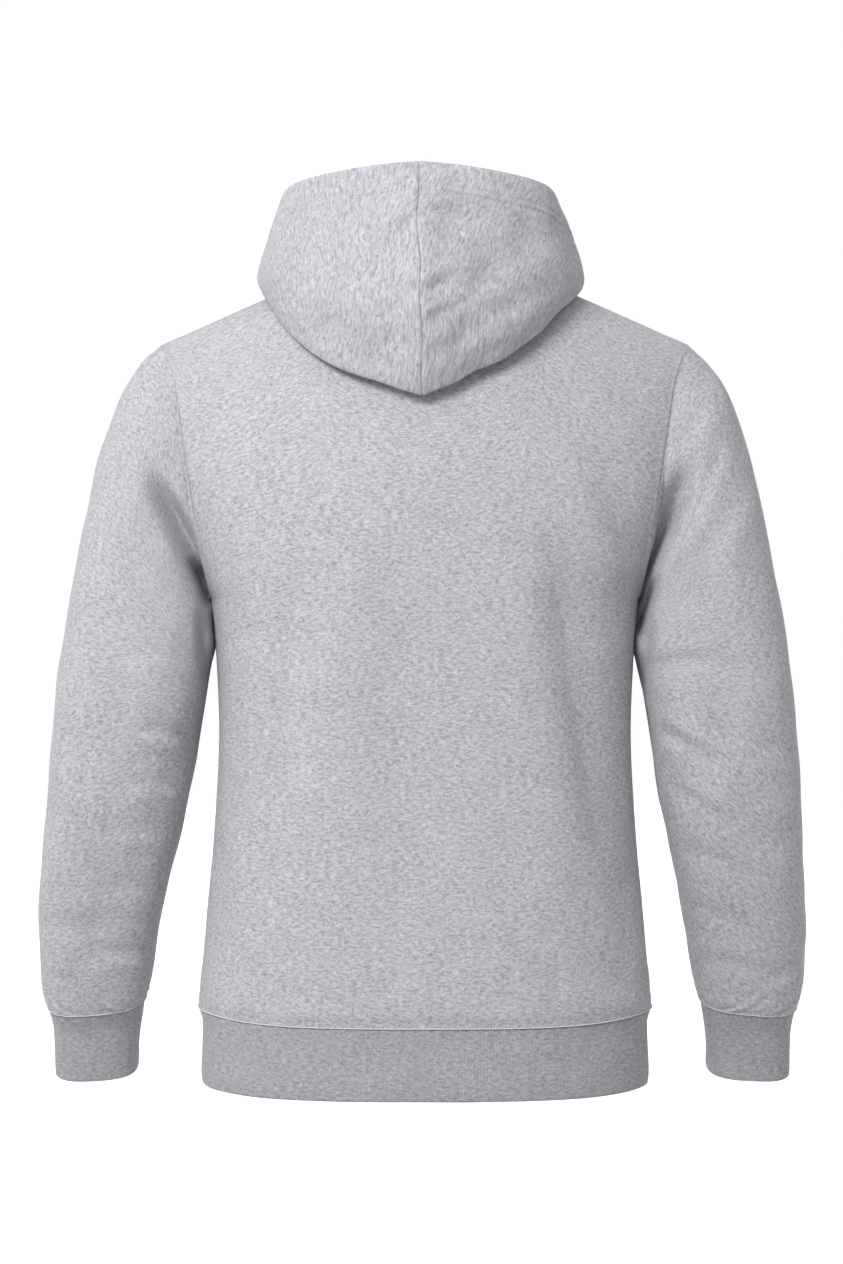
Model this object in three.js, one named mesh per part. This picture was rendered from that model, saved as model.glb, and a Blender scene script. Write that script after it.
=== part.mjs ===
// A pullover hoodie in grey marl fleece, filled out as it is worn, with its hood down.
// Millimetres. +Z is up, -Y is the wearer's front and +X the wearer's left.
// The origin is the middle of the neck opening, level with the neck ends of the shoulder seams.
import * as THREE from "three";

// Cloth and seams
const FLEECE = 2.4;
const RIB = 3.6; // the rib bands are folded double
const SEAM_GAP = 0.34;

// Cut of the body
const SHOULDER_HALF = 226;
const SHOULDER_DROP = 57;
const ARMPIT_DROP = 276;
const BODY_DROP = 625; // to the waistband seam at the sides
const BAND_HEIGHT = 64.8;
const BACK_DIP = 8.5; // the seam hangs lower in the middle of the back than at the sides
const FRONT_DIP = 4;
const DIP_ROUND = 5;
const HEM_DIP = 0.5; // the hem hangs lower by this share of that

// Neck opening. crown is how high the cloth would stand in the middle if the opening were not cut from it.
const NECK_HALF = 98;
const NECK_BACK = { drop: 22, crown: 20 };
const NECK_FRONT = { drop: 85, crown: -5 };
const NECK_CURVE = 1.1;

// How squarely the body's level sections turn at the sides, and how the cloth rounds over the shoulders
const SECTION_POWER = 2.5;
const SHOULDER_ROLL = 205; // height over which the back and chest round over to the shoulder seam
const SHOULDER_POWER = 1.9;
const CHEST_POWER = 1.6;
const CHEST_EDGE = 190;
const FRONT_SCOOP = 7; // the front armhole is cut this much further in

// Colours
const MARL = 0xb4b3b8;
const RIB_MARL = 0xa6a5ab;

// Level sections of the body below the armpit, from the waistband seam up
const BODY = [
  { drop: 625, half: 192.5, back: 113, front: 117 },
  { drop: 614, half: 195, back: 116, front: 120 },
  { drop: 590, half: 191, back: 117, front: 122 },
  { drop: 540, half: 186.5, back: 116, front: 124 },
  { drop: 480, half: 181, back: 115, front: 126 },
  { drop: 396, half: 176.5, back: 115, front: 128 },
  { drop: 327, half: 178.8, back: 117, front: 130 },
  { drop: 276, half: 183, back: 119, front: 131 },
];

// The yoke above the armpit: half is where the armhole cuts it, wide is where its section would close
const YOKE = [
  { drop: 276, half: 183, wide: 183, back: 119, front: 131 },
  { drop: 238, half: 189.5, wide: 199, back: 118, front: 130 },
  { drop: 200, half: 195.5, wide: 212, back: 116, front: 127 },
  { drop: 160, half: 201.5, wide: 225, back: 113, front: 122 },
  { drop: 105, half: 210.5, wide: 239, back: 108, front: 114 },
  { drop: 82, half: 216, wide: 244, back: 106, front: 110 },
  { drop: 57, half: 226, wide: 248, back: 104, front: 106 },
];

// Rings of the waistband, from its seam down
const BAND = [
  { down: 0, half: 192.5, back: 113, front: 117 },
  { down: 12, half: 190.5, back: 111.5, front: 115.5 },
  { down: 30, half: 190.5, back: 111.5, front: 115.5 },
  { down: 54, half: 191.5, back: 112, front: 116 },
  { down: 64.8, half: 190.5, back: 111, front: 115 },
];

// Rings of the left sleeve and its cuff. in and out are the ring's ends nearest to and furthest from
// the body, y is its middle, deep its half depth from front to back, and tilt how many degrees it leans
// so that its back edge hangs lower.
const SLEEVE = [
  { ring: 0, inX: 183, inDrop: 276, outX: 226, outDrop: 57, y: 0, deep: 48, tilt: 0 },
  { ring: 1, inX: 183, inDrop: 284, outX: 244, outDrop: 75, y: 0, deep: 56, tilt: 0 },
  { ring: 2, inX: 182.3, inDrop: 293, outX: 262, outDrop: 103, y: 1, deep: 63, tilt: 0 },
  { ring: 3, inX: 181.6, inDrop: 303, outX: 279, outDrop: 153, y: 2, deep: 68, tilt: 0 },
  { ring: 4, inX: 181, inDrop: 315, outX: 294, outDrop: 222, y: 3, deep: 71, tilt: 0 },
  { ring: 5, inX: 183, inDrop: 332, outX: 308, outDrop: 302, y: 4, deep: 71, tilt: 0 },
  { ring: 6, inX: 189, inDrop: 362, outX: 318, outDrop: 370, y: 4, deep: 69, tilt: 0 },
  { ring: 7, inX: 201, inDrop: 430, outX: 325, outDrop: 446, y: -3, deep: 63, tilt: 5 },
  { ring: 8, inX: 214, inDrop: 486, outX: 330, outDrop: 502, y: -16, deep: 57, tilt: 10 },
  { ring: 9, inX: 229, inDrop: 550, outX: 335, outDrop: 560, y: -34, deep: 51, tilt: 14 },
  { ring: 10, inX: 239, inDrop: 604, outX: 334, outDrop: 608, y: -49, deep: 46, tilt: 15 },
  { ring: 11, inX: 244.5, inDrop: 622, outX: 328.5, outDrop: 629, y: -54, deep: 40, tilt: 15 },
  { ring: 12, inX: 248.5, inDrop: 640, outX: 325, outDrop: 646, y: -59, deep: 34, tilt: 15 },
  { ring: 13, inX: 251.5, inDrop: 664, outX: 324.5, outDrop: 668, y: -65, deep: 32, tilt: 15 },
  { ring: 14, inX: 252, inDrop: 686, outX: 324.5, outDrop: 690, y: -71, deep: 31.5, tilt: 15 },
];
const WRIST_RING = 11;
const CUFF_RING = 14;
const ARMHOLE_FADE = 4; // the sleeve keeps something of the armhole's own outline down to this ring
const SLEEVE_POWER = 2.7; // below it the sleeve lies flatter behind and in front than an ellipse

// The hood lies open behind the neck. Each row is its profile in one upright plane through the neck's
// middle, turned from the centre back at 0 degrees to the centre front at 180: up from the neck seam to a
// crest, down outside to the fold it rests on, out to its fullest, and up to the rim. Each place is its
// distance from the middle and its height.
const HOOD_PROFILES = [
  { turn: 0, crest: [80, 24], fold: [113, -108.5], full: [138, -38], rim: [104, 88] },
  { turn: 20, crest: [81, 25], fold: [113, -93.8], full: [132, -34], rim: [109, 84.5] },
  { turn: 40, crest: [88, 28], fold: [119, -76], full: [132, -26], rim: [121, 78.5] },
  { turn: 55, crest: [96, 30], fold: [125, -55.5], full: [136, -16], rim: [130, 72] },
  { turn: 70, crest: [103, 31], fold: [130, -32], full: [139, -6], rim: [125, 63] },
  { turn: 90, crest: [108, 27], fold: [134.5, -9], full: [140, 1.5], rim: [119, 46] },
  { turn: 110, crest: [108, 12], fold: [124, -12], full: [130, -2], rim: [116, 25] },
  { turn: 130, crest: [99, -20], fold: [107, -18], full: [111, -12], rim: [111, -3] },
  { turn: 150, crest: [91, -52], fold: [96, -44], full: [99, -38], rim: [101, -31] },
  { turn: 180, crest: [79, -76], fold: [81.5, -70], full: [83.5, -64], rim: [86, -56] },
];
const HOOD_LAP = 15; // degrees past the centre front where the left half lies over the right
const LAP_START = 145;
const LAP_CLEAR = 1.6;
const HOOD_LEAN = 5; // the hood has settled this far to the left
const HOOD_HITCH = 6.4; // its fold hangs this much lower on the left and higher on the right
const HITCH_RISE = [0, 38]; // the turns over which that starts and ends
const HITCH_FALL = [50, 84];
const SLEEVE_SWING = 4.5; // the right sleeve hangs this much closer to the body at the wrist

// The deepest folds: troughs in the cloth, between two points as seen from behind (or from in front).
// FOLD_RISE and FOLD_FALL are the shares of its length over which a fold starts and dies away.
const FOLD_RISE = [-0.15, 0.25];
const FOLD_FALL = [0.6, 1.2];
const FOLDS = [
  { on: "sleeve", face: 1, x1: 193, drop1: 242, x2: 234, drop2: 152, wide: 15, deep: 5 },
  { on: "sleeve", face: 1, x1: -193, drop1: 240, x2: -227, drop2: 141, wide: 13.5, deep: 6 },
  { on: "sleeve", face: 1, x1: -219, drop1: 226, x2: -255, drop2: 153, wide: 13, deep: 3.5 },
  { on: "sleeve", face: -1, x1: 195, drop1: 240, x2: 236, drop2: 158, wide: 15, deep: 5 },
  { on: "sleeve", face: -1, x1: -194, drop1: 246, x2: -230, drop2: 150, wide: 14, deep: 5 },
  { on: "sleeve", face: 1, x1: 203, drop1: 424, x2: 246, drop2: 404, wide: 13, deep: 3 },
  { on: "sleeve", face: 1, x1: -200, drop1: 414, x2: -244, drop2: 438, wide: 13, deep: 3 },
  { on: "hood", face: 1, x1: 8, drop1: -26, x2: 40, drop2: -10, wide: 13, deep: 3 },
  { on: "hood", face: 1, x1: -8, drop1: -30, x2: -60, drop2: -48, wide: 13, deep: 3.5 },
  { on: "hood", face: 1, x1: -8, drop1: 32, x2: -70, drop2: 4, wide: 14, deep: 4 },
];

// How finely the cloth is divided
const NECK_STEPS = 6;
const SHOULDER_STEPS = 7;
const BODY_STEPS = 9;
const ARMHOLE_STEPS = 9;
const SLEEVE_STEPS = 19;
const CUFF_STEPS = 4;
const HOOD_STEPS = 18;

const radians = THREE.MathUtils.degToRad;
const { lerp, smoothstep } = THREE.MathUtils;
const at = (x, y, z) => new THREE.Vector3(x, y, z);
const steps = (count) => Array.from({ length: count + 1 }, (_, i) => i / count);

// One column of a table at any place between its rows, on a smooth curve through them.
function read(table, by, place, column) {
  const found = table.findIndex((row, i) => i > 0 && (row[by] - place) * (row[by] - table[i - 1][by]) >= 0);
  const next = found < 0 ? table.length - 1 : found;
  const slope = (i) => {
    const before = table[Math.max(i - 1, 0)];
    const after = table[Math.min(i + 1, table.length - 1)];
    return (after[column] - before[column]) / (after[by] - before[by]);
  };
  const [a, b] = [table[next - 1], table[next]];
  const span = b[by] - a[by];
  const t = (place - a[by]) / span;
  return (
    a[column] * (1 + 2 * t) * (1 - t) ** 2 +
    b[column] * t * t * (3 - 2 * t) +
    span * t * (1 - t) * (slope(next - 1) * (1 - t) - slope(next) * t)
  );
}

// Columns of a body panel from the middle to the side, as shares of its half width, first those at the neck.
const NECK_SHARE = NECK_HALF / SHOULDER_HALF;
const neckTurns = steps(NECK_STEPS).map((t) => 90 * t);
const sideColumns = steps(SHOULDER_STEPS)
  .slice(1)
  .map((t) => {
    const first = Math.asin(NECK_SHARE ** (SECTION_POWER / 2));
    return Math.sin(lerp(first, Math.PI / 2, t)) ** (2 / SECTION_POWER);
  });
const halfColumns = [...neckTurns.map((turn) => NECK_SHARE * Math.sin(radians(turn))), ...sideColumns];
const columns = [...halfColumns.slice(1).map((u) => -u).reverse(), ...halfColumns];

// How far out a section of the body is at a share of its half width.
const bulge = (share) => (1 - Math.min(Math.abs(share), 1) ** SECTION_POWER) ** (1 / SECTION_POWER);
const dip = (side, u) => (side > 0 ? BACK_DIP : FRONT_DIP) * (1 - Math.abs(u) ** DIP_ROUND);

// A point of the front (side -1) or back (side 1) below the armpit, at share u of its half width.
function bodyPoint(side, u, drop) {
  const depth = read(BODY, "drop", drop, side > 0 ? "back" : "front");
  const low = smoothstep(drop, ARMPIT_DROP, BODY_DROP);
  return at(
    u * read(BODY, "drop", drop, "half"),
    side * depth * bulge(u),
    -drop - dip(side, u) * low,
  );
}

// The top line of the cloth: the shoulder seam, carried on over the neck opening as a smooth curve.
function topLine(side, x) {
  const slope = -SHOULDER_DROP / (SHOULDER_HALF - NECK_HALF);
  if (x > NECK_HALF) return slope * (x - NECK_HALF);
  const t = x / NECK_HALF;
  const { crown } = side > 0 ? NECK_BACK : NECK_FRONT;
  return crown * (1 - 3 * t ** 2 + 2 * t ** 3) + slope * NECK_HALF * (t ** 3 - t ** 2);
}

// How far the back or front stands out from the shoulder seam's plane, at x and height z above the armpit.
function yokeDepth(side, x, z) {
  const across = Math.abs(x);
  const drop = Math.max(-z, SHOULDER_DROP);
  const full = read(YOKE, "drop", drop, side > 0 ? "back" : "front");
  const section = full * bulge(x / read(YOKE, "drop", drop, "wide"));
  const chest = lerp(CHEST_POWER, SHOULDER_POWER, smoothstep(across, NECK_HALF, CHEST_EDGE));
  const power = side > 0 ? SHOULDER_POWER : chest;
  const below = THREE.MathUtils.clamp((topLine(side, across) - z) / SHOULDER_ROLL, 0, 1);
  return section * (1 - (1 - below) ** power) ** (1 / power);
}

// A point of the neck seam. turn is 0 at the centre back, 90 at the left and 180 at the centre front.
function neckPoint(turn) {
  const along = Math.cos(radians(turn));
  const side = Math.sign(along) || 1;
  const { drop } = side > 0 ? NECK_BACK : NECK_FRONT;
  const x = NECK_HALF * Math.sin(radians(turn));
  const z = -drop * Math.abs(along) ** NECK_CURVE;
  return at(x, side * yokeDepth(side, x, z), z);
}

// A point of the yoke. rise is 0 at the armpit's level and 1 at the shoulder and neck seams.
function yokePoint(side, u, rise) {
  const scoop = side > 0 ? 0 : FRONT_SCOOP * Math.sin(Math.PI * rise) ** 2;
  const x = u * (read(YOKE, "drop", lerp(ARMPIT_DROP, SHOULDER_DROP, rise), "half") - scoop);
  const atSeam = Math.abs(u) * SHOULDER_HALF;
  const turn = THREE.MathUtils.radToDeg(Math.asin(Math.min(atSeam / NECK_HALF, 1)));
  const onNeck = Math.abs(u) < NECK_SHARE + 1e-6;
  const top = onNeck ? neckPoint(side > 0 ? turn : 180 - turn).z : topLine(side, atSeam);
  const z = lerp(-ARMPIT_DROP, top, rise);
  return at(x, side * yokeDepth(side, x, z), z);
}

// Rise of each row of the yoke, close together at the armpit and at the shoulder.
const rises = steps(ARMHOLE_STEPS).map((t) => (1 - Math.cos(Math.PI * t)) / 2);

function panelGrid(side) {
  const drops = steps(BODY_STEPS).map((t) => lerp(BODY_DROP, ARMPIT_DROP, t ** 1.25));
  return [
    ...drops.map((drop) => columns.map((u) => bodyPoint(side, u, drop))),
    ...rises.slice(1).map((rise) => columns.map((u) => yokePoint(side, u, rise))),
  ];
}

function bandGrid() {
  const around = [...columns.map((u) => [1, u]), ...columns.slice(1, -1).map((u) => [-1, -u])];
  return BAND.map(({ down, half, back, front }) => {
    const hang = lerp(1, HEM_DIP, down / BAND_HEIGHT);
    return around.map(([side, u]) =>
      at(u * half, side * (side > 0 ? back : front) * bulge(u), -BODY_DROP - down - hang * dip(side, u)),
    );
  });
}

// A point of a sleeve ring from the table alone. turn runs from the outside round behind to the body side.
function ringPoint(ring, turn) {
  const value = (column) => read(SLEEVE, "ring", ring, column);
  const inner = at(value("inX"), 0, -value("inDrop"));
  const outer = at(value("outX"), 0, -value("outDrop"));
  const middle = inner.clone().lerp(outer, 0.5);
  const tilt = radians(value("tilt"));
  const power = 2 / lerp(2, SLEEVE_POWER, smoothstep(ring, 0, ARMHOLE_FADE));
  const squared = (share) => Math.sign(share) * Math.abs(share) ** power;
  return outer
    .sub(middle)
    .multiplyScalar(squared(Math.cos(turn)))
    .add(middle)
    .add(at(0, value("y"), 0))
    .addScaledVector(at(0, Math.cos(tilt), -Math.sin(tilt)), value("deep") * squared(Math.sin(turn)));
}

// The armhole's own outline, at the same turn as the sleeve's rings.
function armholePoint(turn) {
  const rise = (1 + Math.cos(turn)) / 2;
  return yokePoint(turn <= Math.PI ? 1 : -1, 1, rise);
}

function sleeveGrid(from, to, count) {
  const turns = steps(2 * ARMHOLE_STEPS).slice(0, -1).map((t) => 2 * Math.PI * t);
  return steps(count).map((t) => {
    const ring = lerp(from, to, t);
    const keep = 1 - smoothstep(ring, 0, ARMHOLE_FADE);
    return turns.map((turn) => {
      const off = armholePoint(turn).sub(ringPoint(0, turn));
      return ringPoint(ring, turn).addScaledVector(off, keep);
    });
  });
}

// The front of the hood is the same on both sides of its centre.
const HOOD = [...HOOD_PROFILES, { ...HOOD_PROFILES.at(-2), turn: 360 - HOOD_PROFILES.at(-2).turn }];

// One half's profile in the plane at one turn round the neck: distance from the middle and height.
function hoodProfile(side, turn) {
  const seam = neckPoint(turn);
  const around = Math.atan2(seam.x, seam.y);
  const neck = new THREE.Vector2(Math.hypot(seam.x, seam.y), seam.z);
  const [crest, fold, full, rim] = ["crest", "fold", "full", "rim"].map((place) => {
    const [r, z] = [0, 1].map((axis) => {
      const table = HOOD.map((row) => ({ turn: row.turn, value: row[place][axis] }));
      return read(table, "turn", Math.abs(THREE.MathUtils.radToDeg(around)), "value");
    });
    return new THREE.Vector2(r, z);
  });
  fold.y -= side * HOOD_HITCH * smoothstep(turn, ...HITCH_RISE) * (1 - smoothstep(turn, ...HITCH_FALL));
  const between = (a, b, r, z) => new THREE.Vector2(lerp(a.x, b.x, r), lerp(a.y, b.y, z));
  const line = [
    neck,
    between(neck, crest, 0.2, 0.62),
    crest,
    between(crest, fold, 0.62, 0.5),
    fold,
    full,
    between(full, rim, 0.45, 0.6),
    rim,
  ];
  return { around, line: new THREE.SplineCurve(line) };
}

// One half of the hood, from the centre back to past the centre front. side is 1 for the left half, whose
// front edge laps over the other.
function hoodGrid(side) {
  const turns = [...neckTurns, ...neckTurns.slice(1).map((turn) => 90 + turn), 180 + HOOD_LAP];
  const profiles = turns.map((turn) => ({ turn, ...hoodProfile(side, turn) }));
  return steps(HOOD_STEPS).map((t) =>
    profiles.map(({ turn, around, line }) => {
      const out = (side / 2) * (FLEECE + LAP_CLEAR) * smoothstep(turn, LAP_START, 180 - HOOD_LAP);
      const { x: r, y: z } = line.getPoint(t);
      return at(side * (r + out) * Math.sin(around) + HOOD_LEAN * t, (r + out) * Math.cos(around), z);
    }),
  );
}

const mirrored = (grid) => grid.map((row) => row.map((p) => at(-p.x, p.y, p.z)));
const swung = (grid) => {
  const inward = ({ z }) => SLEEVE_SWING * smoothstep(-z, ARMPIT_DROP, BODY_DROP);
  return grid.map((row) => row.map((p) => at(p.x + inward(p), p.y, p.z)));
};

// A piece is the outer side of its cloth as rows of points. out says which way its faces turn.
const left = sleeveGrid(0, WRIST_RING, SLEEVE_STEPS);
const leftCuff = sleeveGrid(WRIST_RING, CUFF_RING, CUFF_STEPS);
const pieces = [
  { name: "back", grid: panelGrid(1), out: -1, cloth: FLEECE, colour: MARL },
  { name: "front", grid: panelGrid(-1), out: 1, cloth: FLEECE, colour: MARL },
  { name: "waistband", grid: bandGrid(), out: 1, closed: true, cloth: RIB, colour: RIB_MARL },
  { name: "sleeve_left", grid: left, out: -1, closed: true, cloth: FLEECE, colour: MARL },
  { name: "sleeve_right", grid: swung(mirrored(left)), out: 1, closed: true, cloth: FLEECE, colour: MARL },
  { name: "cuff_left", grid: leftCuff, out: -1, closed: true, cloth: RIB, colour: RIB_MARL },
  { name: "cuff_right", grid: swung(mirrored(leftCuff)), out: 1, closed: true, cloth: RIB, colour: RIB_MARL },
  { name: "hood_left", grid: hoodGrid(1), out: -1, cloth: FLEECE, colour: MARL },
  { name: "hood_right", grid: hoodGrid(-1), out: 1, cloth: FLEECE, colour: MARL },
];

// The outward direction at each point, shared by the pieces that meet there so that their walls mitre.
function findNormals() {
  const sums = new Map();
  const key = (p) => [p.x, p.y, p.z].map((v) => Math.round(v * 100)).join(" ");
  const touch = (p) => sums.get(key(p)) ?? sums.set(key(p), at(0, 0, 0)).get(key(p));
  for (const { grid, out, closed } of pieces) {
    for (let i = 0; i + 1 < grid.length; i++) {
      for (let j = 0; j + (closed ? 0 : 1) < grid[i].length; j++) {
        const k = (j + 1) % grid[i].length;
        const corners = [grid[i][j], grid[i][k], grid[i + 1][k], grid[i + 1][j]];
        const face = corners[2].clone().sub(corners[0]).cross(corners[3].clone().sub(corners[1]));
        corners.forEach((p) => touch(p).addScaledVector(face, out));
      }
    }
  }
  for (const piece of pieces) {
    piece.normals = piece.grid.map((row) => row.map((p) => touch(p).clone().normalize()));
  }
}

// How deep the folds are at a point of a piece.
function foldDepth(name, point, normal) {
  const near = FOLDS.filter(({ on, face }) => name.startsWith(on) && face * normal.y > 0);
  return near.reduce((sum, { x1, drop1, x2, drop2, wide, deep }) => {
    const start = new THREE.Vector2(x1, -drop1);
    const run = new THREE.Vector2(x2, -drop2).sub(start);
    const from = new THREE.Vector2(point.x, point.z).sub(start);
    const along = from.dot(run) / run.lengthSq();
    const across = from.cross(run) / run.length();
    const ends = smoothstep(along, ...FOLD_RISE) * (1 - smoothstep(along, ...FOLD_FALL));
    return sum + deep * Math.exp(-((across / wide) ** 2)) * ends * smoothstep(Math.abs(normal.y), 0, 0.5);
  }, 0);
}

// Presses the folds into the cloth, but not into its seams.
function pressFolds() {
  for (const { name, grid, normals, closed } of pieces) {
    for (let i = 1; i + 1 < grid.length; i++) {
      const [first, end] = closed ? [0, grid[i].length] : [1, grid[i].length - 1];
      for (let j = first; j < end; j++) {
        grid[i][j].addScaledVector(normals[i][j], -foldDepth(name, grid[i][j], normals[i][j]));
      }
    }
  }
}

// Draws the edges of a sheet of points back from the seams.
function trimEdges(grid, closed) {
  const toward = (p, q) => p.clone().add(q.clone().sub(p).setLength(SEAM_GAP / 2));
  const last = grid.length - 1;
  const rows = grid.map((row, i) => {
    if (i === 0) return row.map((p, j) => toward(p, grid[1][j]));
    return i === last ? row.map((p, j) => toward(p, grid[last - 1][j])) : row;
  });
  if (closed) return rows;
  return rows.map((row) => [toward(row[0], row[1]), ...row.slice(1, -1), toward(row.at(-1), row.at(-2))]);
}

// A closed wall of cloth: the outer side, the inner side one cloth further in, and the edges between them.
function wall({ grid, normals, closed, out, cloth }) {
  const inside = grid.map((row, i) => row.map((p, j) => p.clone().addScaledVector(normals[i][j], -cloth)));
  const sides = [trimEdges(grid, closed), trimEdges(inside, closed)];
  const rows = grid.length;
  const across = grid[0].length;
  const index = (side, i, j) => (side * rows + i) * across + (j % across);
  const faces = [];
  const quad = (a, b, c, d) => faces.push(...(out > 0 ? [a, b, c, a, c, d] : [a, c, b, a, d, c]));
  // The edge between two outer points is split from the lower one, as on the piece that it is sewn to.
  const edge = ([i, j], [k, l]) => {
    const corners = [index(0, i, j), index(0, k, l), index(1, k, l), index(1, i, j)];
    const lower = grid[i][j % across].z < grid[k][l % across].z;
    quad(...(lower ? corners : [...corners.slice(1), corners[0]]));
  };
  const lastColumn = closed ? across : across - 1;
  for (let i = 0; i + 1 < rows; i++) {
    for (let j = 0; j < lastColumn; j++) {
      quad(index(0, i, j), index(0, i, j + 1), index(0, i + 1, j + 1), index(0, i + 1, j));
      quad(index(1, i, j), index(1, i + 1, j), index(1, i + 1, j + 1), index(1, i, j + 1));
    }
    if (closed) continue;
    edge([i, 0], [i + 1, 0]);
    edge([i + 1, lastColumn], [i, lastColumn]);
  }
  for (let j = 0; j < lastColumn; j++) {
    edge([0, j + 1], [0, j]);
    edge([rows - 1, j], [rows - 1, j + 1]);
  }
  const points = sides.flat(2).flatMap((p) => [p.x, p.y, p.z]);
  const geometry = new THREE.BufferGeometry();
  geometry.setAttribute("position", new THREE.Float32BufferAttribute(points, 3));
  geometry.setIndex(faces);
  geometry.computeVertexNormals();
  return geometry;
}

findNormals();
pressFolds();
findNormals();

const hoodie = new THREE.Group();
hoodie.name = "hoodie";
for (const piece of pieces) {
  const material = new THREE.MeshStandardMaterial({ color: piece.colour, roughness: 0.95, metalness: 0 });
  const mesh = new THREE.Mesh(wall(piece), material);
  mesh.name = piece.name;
  hoodie.add(mesh);
}

export default hoodie;
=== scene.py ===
"""Pullover hoodie in grey marl fleece: the cut pieces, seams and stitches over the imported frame."""
import math

import bpy
import numpy as np
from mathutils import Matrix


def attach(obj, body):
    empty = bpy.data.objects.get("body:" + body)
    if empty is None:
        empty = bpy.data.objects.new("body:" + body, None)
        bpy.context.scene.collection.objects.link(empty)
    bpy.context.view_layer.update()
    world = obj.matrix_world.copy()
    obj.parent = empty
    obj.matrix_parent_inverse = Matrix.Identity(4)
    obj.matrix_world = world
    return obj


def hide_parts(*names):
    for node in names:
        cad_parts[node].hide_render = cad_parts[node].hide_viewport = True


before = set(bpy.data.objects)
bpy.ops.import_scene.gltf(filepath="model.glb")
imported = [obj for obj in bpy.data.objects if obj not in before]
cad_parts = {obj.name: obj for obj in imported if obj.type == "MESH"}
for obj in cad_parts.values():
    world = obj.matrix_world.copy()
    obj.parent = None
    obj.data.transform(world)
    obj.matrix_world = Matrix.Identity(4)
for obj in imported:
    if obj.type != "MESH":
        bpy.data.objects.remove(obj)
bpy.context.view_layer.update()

# The tables are in millimetres, in the frame's axes: +X the wearer's left, +Y behind, +Z up.
MM = 0.001
FLEECE = 2.4
RIB = 3.6
HEM_THICK = 4.4
SEAM_GAP = 0.12

SHOULDER_HALF, SHOULDER_DROP, ARMPIT_DROP, BODY_DROP = 226, 57, 276, 625
BAND_HEIGHT, HEM_DIP = 64.8, 0.5
BACK_DIP, FRONT_DIP, DIP_ROUND = 8.5, 4, 5
NECK_HALF, NECK_CURVE = 98, 1.1
NECK_BACK_DROP, NECK_BACK_CROWN = 22, 20
NECK_FRONT_DROP, NECK_FRONT_CROWN = 85, -5
SECTION_POWER, SHOULDER_ROLL, SHOULDER_POWER, CHEST_POWER = 2.5, 205, 1.9, 1.6
CHEST_EDGE, FRONT_SCOOP = 190, 7
WRIST_RING, CUFF_RING, ARMHOLE_FADE, SLEEVE_POWER = 11, 14, 4, 2.7
HOOD_LAP, LAP_START, LAP_CLEAR, HOOD_LEAN, SLEEVE_SWING = 15, 145, 1.6, 5, 4.5
HOOD_HITCH, HITCH_RISE, HITCH_FALL = 6.4, (0, 38), (50, 84)

# Level sections of the body: drop, half width, depth behind, depth in front
BODY = [
    (625, 192.5, 113, 117), (614, 195, 116, 120), (590, 191, 117, 122), (540, 186.5, 116, 124),
    (480, 181, 115, 126), (396, 176.5, 115, 128), (327, 178.8, 117, 130), (276, 183, 119, 131),
]
# The yoke: drop, half width at the armhole, half width where the section would close, depths
YOKE = [
    (276, 183, 183, 119, 131), (238, 189.5, 199, 118, 130), (200, 195.5, 212, 116, 127),
    (160, 201.5, 225, 113, 122), (105, 210.5, 239, 108, 114), (82, 216, 244, 106, 110),
    (57, 226, 248, 104, 106),
]
# The waistband: how far down, half width, depths
BAND = [
    (0, 192.5, 113, 117), (12, 190.5, 111.5, 115.5), (30, 190.5, 111.5, 115.5),
    (54, 191.5, 112, 116), (64.8, 190.5, 111, 115),
]
# Rings of the left sleeve and cuff: ring, inner end x and drop, outer end x and drop, y, half depth, tilt
SLEEVE = [
    (0, 183, 276, 226, 57, 0, 48, 0), (1, 183, 284, 244, 75, 0, 56, 0),
    (2, 182.3, 293, 262, 103, 1, 63, 0), (3, 181.6, 303, 279, 153, 2, 68, 0),
    (4, 181, 315, 294, 222, 3, 71, 0), (5, 183, 332, 308, 302, 4, 71, 0),
    (6, 189, 362, 318, 370, 4, 69, 0), (7, 201, 430, 325, 446, -3, 63, 5),
    (8, 214, 486, 330, 502, -16, 57, 10), (9, 229, 550, 335, 560, -34, 51, 14),
    (10, 239, 604, 334, 608, -49, 46, 15), (11, 244.5, 622, 328.5, 629, -54, 40, 15),
    (12, 248.5, 640, 325, 646, -59, 34, 15), (13, 251.5, 664, 324.5, 668, -65, 32, 15),
    (14, 252, 686, 324.5, 690, -71, 31.5, 15),
]
# The hood's profile at each turn from the centre back: crest, fold, fullest place and rim, each as
# distance from the neck's middle and height
HOOD = [
    (0, 80, 24, 113, -108.5, 138, -38, 104, 88), (20, 81, 25, 113, -93.8, 132, -34, 109, 84.5),
    (40, 88, 28, 119, -76, 132, -26, 121, 78.5), (55, 96, 30, 125, -55.5, 136, -16, 130, 72),
    (70, 103, 31, 130, -32, 139, -6, 125, 63), (90, 108, 27, 134.5, -9, 140, 1.5, 119, 46),
    (110, 108, 12, 124, -12, 130, -2, 116, 25), (130, 99, -20, 107, -18, 111, -12, 111, -3),
    (150, 91, -52, 96, -44, 99, -38, 101, -31), (180, 79, -76, 81.5, -70, 83.5, -64, 86, -56),
    (210, 91, -52, 96, -44, 99, -38, 101, -31),
]

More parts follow.
